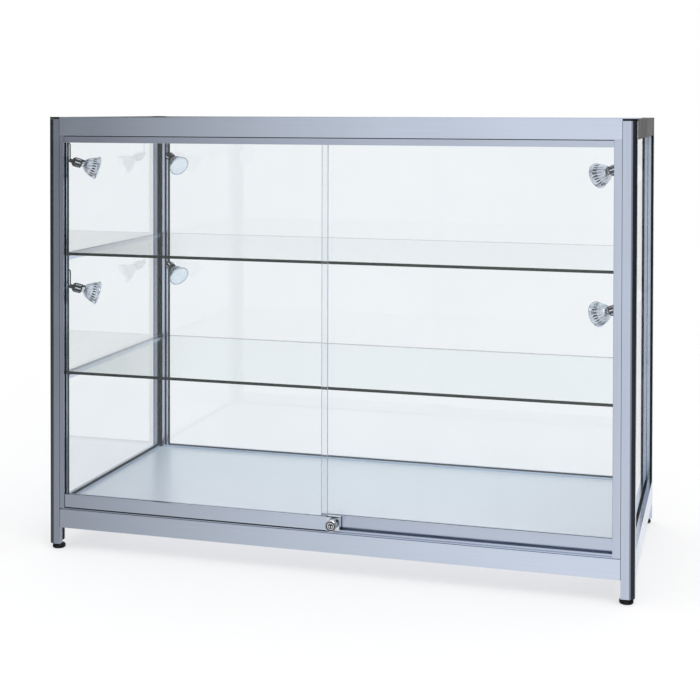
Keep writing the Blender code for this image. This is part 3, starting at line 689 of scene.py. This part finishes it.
# The dark strips along the shoes are painted shadow lines.
# Height above the shoe's bottom, and finish
SHOE_SHADOW_STRIPS = {"left": (0.0017, "rubber"), "right": (0.0012, "shoe_shade_grey")}


def add_box_piece(name, low, high, radius, material="rubber", body="root"):
    """A box with rounded edges between two corners."""
    low = Vector(low)
    high = Vector(high)
    bm = bmesh.new()
    bmesh.ops.create_cube(bm, size=1.0)
    bmesh.ops.scale(bm, vec=high - low, verts=bm.verts)
    bmesh.ops.translate(bm, vec=(low + high) / 2, verts=bm.verts)
    bmesh.ops.bevel(bm, geom=bm.edges[:], offset=radius, segments=2, affect="EDGES")
    return piece(name, mesh_from(bm), material, body)


def add_joint_seals():
    """A black strip in the joint under the top rail, a painted shadow line, and black seals in the
    joints beside the front posts.
    """
    reach = HALF_X - POST - JOINT_GAP
    track_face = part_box("upper_track")[0].y
    low = (-reach, FRONT + SLIM_TOUCH, TOP_RAIL_LOW - TRACK_SHADOW_HEIGHT)
    high = (reach, track_face - SLIM_TOUCH, TOP_RAIL_LOW - TOUCH)
    # A black strip in the joint under the top rail: painted shadow line.
    add_box_piece("track_joint_shadow_strip", low, high, TRACK_SHADOW_ROUND)
    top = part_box("post_cap_front_left")[0].z - JOINT_GAP
    for side, sign in (("left", -1), ("right", 1)):
        joint = sign * (HALF_X - POST - POST_SEAL_OFFSET)
        low = (joint - POST_SEAL_HALF, FRONT - POST_SEAL_PROUD, RAIL_LOW)
        high = (joint + POST_SEAL_HALF, FRONT + POST_SEAL_HALF, top)
        add_box_piece(f"post_joint_seal_{side}", low, high, POST_SEAL_ROUND)


def add_shoe_shadow_strips():
    """A dark strip along the lower front edge of each door's shoe: painted shadow line, grey and
    softer under the inner door.
    """
    for side, (height, finish) in SHOE_SHADOW_STRIPS.items():
        shoe_low, shoe_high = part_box(f"door_shoe_{side}")
        low = (shoe_low.x + SHOE_SHADOW_END_GAP, shoe_low.y - SHOE_SHADOW_FRONT, shoe_low.z - SHOE_SHADOW_DROP)
        high = (shoe_high.x - SHOE_SHADOW_END_GAP, shoe_low.y + SHOE_SHADOW_BACK, shoe_low.z + height)
        add_box_piece(f"door_shoe_shadow_strip_{side}", low, high, SHOE_SHADOW_ROUND, finish, f"{side}_door")


# Levelling inserts in the feet of the posts

INSERT_INSET = 0.019
INSERT_HALF = 0.0064
INSERT_ROUND = 0.0022
INSERT_LOW = 0.0150
INSERT_CHAMFER = 0.0009


def add_levelling_inserts():
    """The threaded block in each post's open corner that the foot's stem screws into."""
    half = INSERT_HALF
    for corner in CORNERS:
        x, y = corner_point(corner, INSERT_INSET, INSERT_INSET)
        outline = rounded_strip((x - half, y - half), (x + half, y + half), INSERT_ROUND, 4)
        bm = prism(outline, INSERT_LOW, RAIL_LOW - END_GAP, "Z")
        ends = [edge for edge in bm.edges if abs(edge.verts[0].co.z - edge.verts[1].co.z) < 1e-6]
        bmesh.ops.bevel(bm, geom=ends, offset=INSERT_CHAMFER, segments=2, affect="EDGES")
        piece(f"levelling_insert_{corner}", mesh_from(bm), "plastic")


# Lamps

LAMP_TILT = {"front": math.radians(17), "rear": math.radians(28)}

# The lamp head along its beam, from the tilt axis, and its radii
HEAD_BACK = 0.0295
MOUTH_X = 0.0600
RIM_BACK = 0.0042
HEAD_DEPTH = MOUTH_X - RIM_BACK - HEAD_BACK
NECK_LENGTH = 0.0045
NECK_RADIUS = 0.0060
RIM_RADIUS = 0.0246
BOWL_RADIUS = RIM_RADIUS - 0.0014
BOWL_WALL = 0.0016
BOWL_STEPS = 24
BOWL_CURVE = 0.52
RIB_COUNT = 22
RIB_DEPTH = 0.05
MIRROR_DEPTH = MOUTH_X - 0.0062 - HEAD_BACK


def lamp_matrix(joint):
    """Where a lamp head stands at rest: local X along its beam, local Y along its tilt axis."""
    axis = Vector(joint["axis"])
    aim = axis.cross(Vector((0, 0, 1)))
    facing = Matrix((aim, axis, (0, 0, 1))).transposed().to_4x4()
    row = "front" if "front" in joint["name"] else "rear"
    return Matrix.Translation(joint["pos_m"]) @ facing @ Matrix.Rotation(LAMP_TILT[row], 4, "Y")


def bowl_radius(share):
    """The bowl's radius from its neck (share 0) to its rim (share 1)."""
    return NECK_RADIUS + (BOWL_RADIUS - NECK_RADIUS) * share**BOWL_CURVE


def ribs(along, angle):
    """How far the ribs pull the bowl in, as a factor of its radius."""
    outer = HEAD_BACK + HEAD_DEPTH
    if along > outer or along < HEAD_BACK + 0.001:
        return 1.0
    share = (along - HEAD_BACK) / (outer - HEAD_BACK)
    depth = RIB_DEPTH * max(0.0, math.sin(math.pi * min(share * 1.02, 1.0))) ** 0.5
    return 1.0 - depth * (0.5 - 0.5 * math.cos(RIB_COUNT * angle))


def bowl_mesh():
    """The ribbed outside of the reflector, its rim and its mirrored inside."""
    profile = [(HEAD_BACK - NECK_LENGTH, 0), (HEAD_BACK - NECK_LENGTH, NECK_RADIUS)]
    for step in range(BOWL_STEPS + 1):
        share = step / BOWL_STEPS
        profile.append((HEAD_BACK + HEAD_DEPTH * share, bowl_radius(share)))
    profile += [
        (MOUTH_X - 0.0034, RIM_RADIUS - 0.0004),
        (MOUTH_X - 0.0026, RIM_RADIUS),
        (MOUTH_X - 0.0006, RIM_RADIUS),
        (MOUTH_X, RIM_RADIUS - 0.0006),
        (MOUTH_X - 0.0002, RIM_RADIUS - 0.0022),
        (MOUTH_X - 0.0018, RIM_RADIUS - 0.0026),
    ]
    for step in range(BOWL_STEPS, 2, -2):
        share = step / BOWL_STEPS
        profile.append((HEAD_BACK + 0.002 + MIRROR_DEPTH * share, bowl_radius(share) - BOWL_WALL))
    profile.append((HEAD_BACK + 0.004, 0))
    return mesh_from(turned(profile, RIB_COUNT * 8, ribs), "bowl", 60)


# The painted groove shade runs between two shares of the bowl's depth. Widths are half angles in
# radians
GROOVE_SHADE_START = 0.58
GROOVE_SHADE_LENGTH = 0.32
GROOVE_SHADE_STEPS = 8
GROOVE_SHADE_HALF_WIDTH = 0.075
GROOVE_SHADE_TAPER = 0.6
GROOVE_SHADE_SINK = 0.962
GROOVE_SHADE_LIFT = 0.0003
GROOVE_SHADE_THICKNESS = 0.0004


def groove_shade_mesh():
    """Dark strips in the grooves between the ribs, in the half of the bowl next to its rim: painted
    shade.
    """
    bm = bmesh.new()
    for index in range(RIB_COUNT):
        angle = 2 * math.pi * (index + 0.5) / RIB_COUNT
        rows = []
        for step in range(GROOVE_SHADE_STEPS + 1):
            share = GROOVE_SHADE_START + GROOVE_SHADE_LENGTH * step / GROOVE_SHADE_STEPS
            x = HEAD_BACK + HEAD_DEPTH * share
            radius = bowl_radius(share) * GROOVE_SHADE_SINK + GROOVE_SHADE_LIFT
            swell = math.sin(math.pi * (step + GROOVE_SHADE_TAPER) / (GROOVE_SHADE_STEPS + 2 * GROOVE_SHADE_TAPER))
            half = GROOVE_SHADE_HALF_WIDTH * swell**0.5
            row = []
            for turn in (angle - half, angle + half):
                row.append(bm.verts.new((x, radius * math.cos(turn), radius * math.sin(turn))))
            rows.append(row)
        for first, second in zip(rows, rows[1:]):
            bm.faces.new((first[0], first[1], second[1], second[0]))
    bmesh.ops.solidify(bm, geom=bm.faces[:], thickness=GROOVE_SHADE_THICKNESS)
    return mesh_from(bm, "slots")


LENS_BACK = MOUTH_X - 0.0030
LENS_EDGE = MOUTH_X - 0.0016
LENS_CROWN = 0.0014
LENS_RADIUS = RIM_RADIUS - 0.0025
LENS_STEPS = 5


def lens_mesh():
    """The front glass, flat behind and slightly domed in front."""
    profile = [(LENS_BACK, 0), (LENS_BACK, LENS_RADIUS)]
    for step in range(LENS_STEPS):
        turn = step / LENS_STEPS * math.pi / 2
        profile.append((LENS_EDGE + LENS_CROWN * math.sin(turn), LENS_RADIUS * math.cos(turn)))
    profile.append((LENS_EDGE + LENS_CROWN, 0))
    return mesh_from(turned(profile, 48), "lens", 60)


HOLDER_BACK = 0.0052
HOLDER_SHOULDER = 0.0088
HOLDER_FRONT = 0.0238
HOLDER_RADIUS = 0.0099
FLUTE_COUNT = 8
FLUTE_DEPTH = 0.11


def flutes(along, angle):
    """How far the flutes pull the holder in, as a factor of its radius."""
    if not HOLDER_SHOULDER < along < HOLDER_FRONT - 0.0025:
        return 1.0
    return 1.0 - FLUTE_DEPTH * max(0.0, math.cos(FLUTE_COUNT * angle)) ** 0.6


def holder_mesh():
    """The lamp holder: a chamfered barrel with flutes along it, and a collar at the front."""
    profile = [
        (HOLDER_BACK, 0),
        (HOLDER_BACK, 0.0066),
        (HOLDER_SHOULDER, 0.0097),
        (HOLDER_SHOULDER + 0.0008, HOLDER_RADIUS),
        (HOLDER_FRONT - 0.0030, HOLDER_RADIUS),
        (HOLDER_FRONT - 0.0022, 0.0092),
        (HOLDER_FRONT - 0.0014, 0.0092),
        (HOLDER_FRONT - 0.0006, HOLDER_RADIUS),
        (HOLDER_FRONT, 0.0096),
        (HOLDER_FRONT + 0.0008, 0.0072),
        (HOLDER_FRONT + 0.0008, 0),
    ]
    return mesh_from(turned(profile, 96, flutes), "holder", 40)


CLIP_SIZE = (0.0118, 0.0022, 0.0012)
CLIP_PLACE = (0.0152, 0, 0.0094)
CLIP_ROUND = 0.0003


def clip_mesh():
    """Bright spring clips along the holder's flutes."""
    bm = bmesh.new()
    size = Matrix.Diagonal((*CLIP_SIZE, 1.0))
    move = Matrix.Translation(CLIP_PLACE)
    for index in range(FLUTE_COUNT):
        turn = Matrix.Rotation(2 * math.pi * index / FLUTE_COUNT, 4, "X")
        made = bmesh.ops.create_cube(bm, size=1.0)["verts"]
        bmesh.ops.transform(bm, matrix=turn @ move @ size, verts=made)
    bmesh.ops.bevel(bm, geom=bm.edges[:], offset=CLIP_ROUND, segments=2, affect="EDGES")
    return mesh_from(bm, "clips")


KNOB_PLACE = (0.0265, 0.0, 0.0048)
KNOB_PROFILE = [
    (0, 0),
    (0, 0.0034),
    (0.0004, 0.0038),
    (0.0034, 0.0038),
    (0.0044, 0.0028),
    (0.0044, 0),
]


def knob_mesh():
    """The small clamping screw above the neck."""
    return mesh_from(turned(KNOB_PROFILE, 24), "knob")


EAR_SIZE = (0.0112, 0.0014, 0.0080)
EAR_X = 0.0015
EAR_Y = 0.0034
EAR_ROUND = 0.0026


def fork_mesh():
    """The two ears that join the holder to the arm's pin."""
    bm = bmesh.new()
    size = Matrix.Diagonal((*EAR_SIZE, 1.0))
    for side in (-1, 1):
        made = bmesh.ops.create_cube(bm, size=1.0)["verts"]
        move = Matrix.Translation((EAR_X, side * EAR_Y, 0))
        bmesh.ops.transform(bm, matrix=move @ size, verts=made)
    corners = [edge for edge in bm.edges if abs(edge.verts[0].co.y - edge.verts[1].co.y) > 1e-4]
    bmesh.ops.bevel(bm, geom=corners, offset=EAR_ROUND, segments=4, affect="EDGES")
    return mesh_from(bm, "fork")


def add_lamps():
    """A detailed head in place of each CAD lamp head, with its knob."""
    shared = {
        "bowl": (bowl_mesh(), "lamp_glass", "lamp_glass"),
        # The dark strips in the bowl's grooves are painted shade.
        "slots": (groove_shade_mesh(), "rubber", "lamp_glass"),
        "lens": (lens_mesh(), "lamp_lens", "lamp_glass"),
        "holder": (holder_mesh(), "plastic", "lamp_steel"),
        "clips": (clip_mesh(), "chrome", "lamp_steel"),
        "fork": (fork_mesh(), "plastic", "lamp_steel"),
    }
    knob = knob_mesh()
    on_neck = Matrix.Translation(KNOB_PLACE) @ Matrix.Rotation(-math.pi / 2, 4, "Y")
    for joint in frame["joints"]:
        if not joint["name"].startswith("lamp_tilt"):
            continue
        body = joint["child"]
        matrix = lamp_matrix(joint)
        for name, (mesh, material, slot) in shared.items():
            obj = piece(f"{body}_{name}", mesh.copy(), material, body, matrix)
            if name == "bowl":
                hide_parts(body)
        piece(f"{body}_knob", knob.copy(), "plastic", body, matrix=matrix @ on_neck)


# Lock


# Rings as inner radius, outer radius and thickness
BARREL_RING = (0.0072, 0.0094, 0.0006)
PLUG_COLLAR = (0.0040, 0.0052, 0.0005)
# The black disc round the housing's screw is a painted dark reflection.
SCREW_DARK_REFLECTION = (0.0, 0.0029, 0.0004)
SCREW_HEAD = (0.0007, 0.0014, 0.0007)

# The screw's distance from the housing's right side and from its top
SCREW_INSET_X = 0.0042
SCREW_INSET_Z = 0.0062

# The keyhole's two boxes, from the middle of the barrel's face
KEYHOLE = {
    "lock_keyhole": ((-0.0012, -0.0004, -0.0034), (0.0012, 0.0003, 0.0024)),
    "lock_keyhole_head": ((-0.0032, -0.0004, 0.0012), (0.0032, 0.0003, 0.0030)),
}
KEYHOLE_ROUND = 0.0002

# The seal over the housing: its front and back behind the housing's face, its height and rounding
LOCK_SEAL_DEPTHS = (0.0004, 0.0040)
LOCK_SEAL_HEIGHT = 0.0009
LOCK_SEAL_ROUND = 0.0002


def ring_mesh(inner, outer, depth):
    """A flat ring about X with its outer edge chamfered behind."""
    edge = depth * 0.4
    profile = [
        (0, inner),
        (0, outer - edge),
        (edge, outer),
        (depth, outer),
        (depth, inner),
        (0, inner),
    ]
    return mesh_from(turned(profile, 48), "ring", 30)


def add_lock_details():
    """The black ring round the barrel's face, the keyhole, the housing's screw and its seal. The
    black disc round the screw is a painted dark reflection.
    """
    low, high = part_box("lock_barrel")
    middle = Vector(((low.x + high.x) / 2, low.y, (low.z + high.z) / 2))
    facing = Matrix.Rotation(-math.pi / 2, 4, "Z")
    front = Matrix.Translation(middle) @ facing
    piece("lock_barrel_ring", ring_mesh(*BARREL_RING), "plastic", "lock_barrel", matrix=front)
    piece("lock_plug_collar", ring_mesh(*PLUG_COLLAR), "plastic", "lock_barrel", matrix=front)
    for name, (first, last) in KEYHOLE.items():
        first = middle + Vector(first)
        last = middle + Vector(last)
        add_box_piece(name, first, last, KEYHOLE_ROUND, "plastic", "lock_key_plug")
    low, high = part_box("lock_housing")
    screw = Vector((high.x - SCREW_INSET_X, low.y, high.z - SCREW_INSET_Z))
    place = Matrix.Translation(screw) @ facing
    piece("lock_screw_painted_reflection", ring_mesh(*SCREW_DARK_REFLECTION), "plastic", "left_door", matrix=place)
    piece("lock_screw_head", ring_mesh(*SCREW_HEAD), "chrome", "left_door", place)
    front, back = LOCK_SEAL_DEPTHS
    first = (low.x + TOUCH, low.y + front, high.z + SLIM_TOUCH)
    last = (high.x - TOUCH, low.y + back, high.z + LOCK_SEAL_HEIGHT)
    add_box_piece("lock_seal", first, last, LOCK_SEAL_ROUND, "rubber", "left_door")


# Stage


FLOOR_RADIUS = 60.0
FLOOR_COLOUR = (0.93, 0.93, 0.94, 1.0)
WHITE = (1.0, 1.0, 1.0, 1.0)


def add_floor():
    """A pale floor that fades into the white surroundings away from the object."""
    bm = bmesh.new()
    bmesh.ops.create_circle(bm, cap_ends=True, radius=FLOOR_RADIUS, segments=96)
    floor = bpy.data.objects.new("floor", mesh_from(bm, "floor"))
    bpy.context.scene.collection.objects.link(floor)
    material, tree, output = new_material("studio_floor")
    length = add_node(tree, "ShaderNodeVectorMath", {"operation": "LENGTH"})
    tree.links.new(coordinates(tree), length.inputs[0])
    fade = add_node(tree, "ShaderNodeMapRange", From_Min=0.8, From_Max=2.6, To_Min=0.55, To_Max=1.0)
    tree.links.new(length.outputs["Value"], fade.inputs["Value"])
    matt = add_node(tree, "ShaderNodeBsdfPrincipled", Base_Color=FLOOR_COLOUR, Roughness=0.9)
    glow = add_node(tree, "ShaderNodeEmission", Color=WHITE, Strength=1.0)
    mixed = add_node(tree, "ShaderNodeMixShader")
    tree.links.new(fade.outputs["Result"], mixed.inputs["Fac"])
    tree.links.new(matt.outputs["BSDF"], mixed.inputs[1])
    tree.links.new(glow.outputs["Emission"], mixed.inputs[2])
    tree.links.new(mixed.outputs["Shader"], output.inputs["Surface"])
    floor.data.materials.append(material)
    floor.visible_glossy = False


# Brightness by azimuth in degrees: 0 is straight in front, and +90 is on the right
STUDIO = (
    (-180, 1.0),
    (-157, 1.0),
    (-151, 0.40),
    (-142, 0.04),
    (-34, 0.02),
    (-29, 0.12),
    (-25, 0.42),
    (-20, 0.66),
    (-15, 0.82),
    (-8, 0.94),
    (9, 0.96),
    (24, 0.80),
    (38, 0.30),
    (50, 0.02),
    (168, 0.02),
    (172, 1.0),
    (180, 1.0),
)

# The same for reflections that point down
NEAR_FLOOR = (
    (-180, 1.0),
    (-150, 0.9),
    (-120, 0.10),
    (-45, 0.10),
    (-30, 0.34),
    (-22, 0.66),
    (-14, 0.88),
    (0, 1.0),
    (15, 0.95),
    (35, 0.30),
    (50, 0.05),
    (145, 0.05),
    (160, 1.0),
    (180, 1.0),
)


def azimuth_share(tree, split):
    """The direction's azimuth from 0 to 1: behind, by way of the left, the front and the right."""
    front = add_node(tree, "ShaderNodeMath", {"operation": "MULTIPLY"})
    front.inputs[1].default_value = -1.0
    tree.links.new(split.outputs["Y"], front.inputs[0])
    azimuth = add_node(tree, "ShaderNodeMath", {"operation": "ARCTAN2"})
    tree.links.new(split.outputs["X"], azimuth.inputs[0])
    tree.links.new(front.outputs["Value"], azimuth.inputs[1])
    share = add_node(tree, "ShaderNodeMapRange", From_Min=-math.pi, From_Max=math.pi)
    tree.links.new(azimuth.outputs["Value"], share.inputs["Value"])
    return share.outputs["Result"]


def compass(tree, share, levels):
    """A brightness by azimuth."""
    stops = [((azimuth + 180) / 360, (level, level, level)) for azimuth, level in levels]
    return ramp(tree, share, stops)


def blend(tree, height, start, end, colour):
    """A mix by the direction's height, from a colour at start to the node's input B at end."""
    amount = add_node(tree, "ShaderNodeMapRange", From_Min=start, From_Max=end)
    tree.links.new(height, amount.inputs["Value"])
    mixed = add_node(tree, "ShaderNodeMix", {"data_type": "RGBA"})
    tree.links.new(amount.outputs["Result"], mixed.inputs["Factor"])
    tree.links.new(colour, mixed.inputs["A"])
    return mixed


def set_world():
    """A white room. Reflections of it show dark sides, a bright front and back, and a white sky."""
    world = bpy.data.worlds.new("studio")
    bpy.context.scene.world = world
    world.use_nodes = True
    tree = world.node_tree
    tree.nodes.clear()
    output = tree.nodes.new("ShaderNodeOutputWorld")
    source = add_node(tree, "ShaderNodeTexCoord")
    split = add_node(tree, "ShaderNodeSeparateXYZ")
    tree.links.new(source.outputs["Generated"], split.inputs["Vector"])
    share = azimuth_share(tree, split)
    lower = blend(tree, split.outputs["Z"], -0.10, -0.26, compass(tree, share, STUDIO))
    tree.links.new(compass(tree, share, NEAR_FLOOR), lower.inputs["B"])
    sky = blend(tree, split.outputs["Z"], 0.35, 0.90, lower.outputs["Result"])
    sky.inputs["B"].default_value = WHITE
    reflected = add_node(tree, "ShaderNodeBackground", Strength=1.0)
    tree.links.new(sky.outputs["Result"], reflected.inputs["Color"])
    plain = add_node(tree, "ShaderNodeBackground", Color=WHITE, Strength=1.0)
    path = add_node(tree, "ShaderNodeLightPath")
    mixed = add_node(tree, "ShaderNodeMixShader")
    tree.links.new(path.outputs["Is Glossy Ray"], mixed.inputs["Fac"])
    tree.links.new(plain.outputs["Background"], mixed.inputs[1])
    tree.links.new(reflected.outputs["Background"], mixed.inputs[2])
    tree.links.new(mixed.outputs["Shader"], output.inputs["Surface"])


SOFT_BOX_PLACE = (1.6, -2.2, 3.2)
SOFT_BOX_AIM = (0, 0, 0.4)
SOFT_BOX_SIZE = (2.6, 1.8)
SOFT_BOX_WATTS = 45


def add_lights():
    """One broad soft box above the front right."""
    light = bpy.data.lights.new("soft_box", "AREA")
    light.shape = "RECTANGLE"
    light.size, light.size_y = SOFT_BOX_SIZE
    light.energy = SOFT_BOX_WATTS
    box = bpy.data.objects.new("soft_box", light)
    bpy.context.scene.collection.objects.link(box)
    box.location = SOFT_BOX_PLACE
    aim = Vector(SOFT_BOX_AIM) - box.location
    box.rotation_euler = aim.to_track_quat("-Z", "Y").to_euler()


# The camera stands in front and past the right end, just above the top. Angles in degrees
CAMERA_PLACE = (0.7769, -2.8080, 0.9135)
CAMERA_TURN = 15.912
CAMERA_DIP = 0.891
CAMERA_ROLL = 0.1095
CAMERA_LENS = 69.888
CAMERA_SHIFT = -0.3113
SENSOR_WIDTH = 36.0
FAR_CLIP = 200.0


def add_camera():
    """The camera, turned to the left and dipped slightly."""
    data = bpy.data.cameras.new("camera")
    camera = bpy.data.objects.new("camera", data)
    bpy.context.scene.collection.objects.link(camera)
    data.sensor_width = SENSOR_WIDTH
    data.lens = CAMERA_LENS
    data.shift_y = CAMERA_SHIFT
    data.clip_end = FAR_CLIP
    turn = Matrix.Rotation(math.radians(CAMERA_TURN), 4, "Z")
    dip = Matrix.Rotation(math.radians(90 - CAMERA_DIP), 4, "X")
    roll = Matrix.Rotation(math.radians(CAMERA_ROLL), 4, "Z")
    camera.matrix_world = Matrix.Translation(CAMERA_PLACE) @ turn @ dip @ roll
    bpy.context.scene.camera = camera


def main():
    """Finishes the CAD nodes, adds the pieces and sets the stage."""
    finish_cad_nodes()
    add_post_gaskets()
    add_corner_fillets()
    add_rear_glazing_beads()
    add_sill_gaskets()
    add_jamb_seals()
    add_joint_seals()
    add_shoe_shadow_strips()
    add_levelling_inserts()
    add_lamps()
    add_lock_details()
    add_floor()
    set_world()
    add_lights()
    add_camera()
    bpy.context.scene.view_settings.view_transform = "Standard"


main()
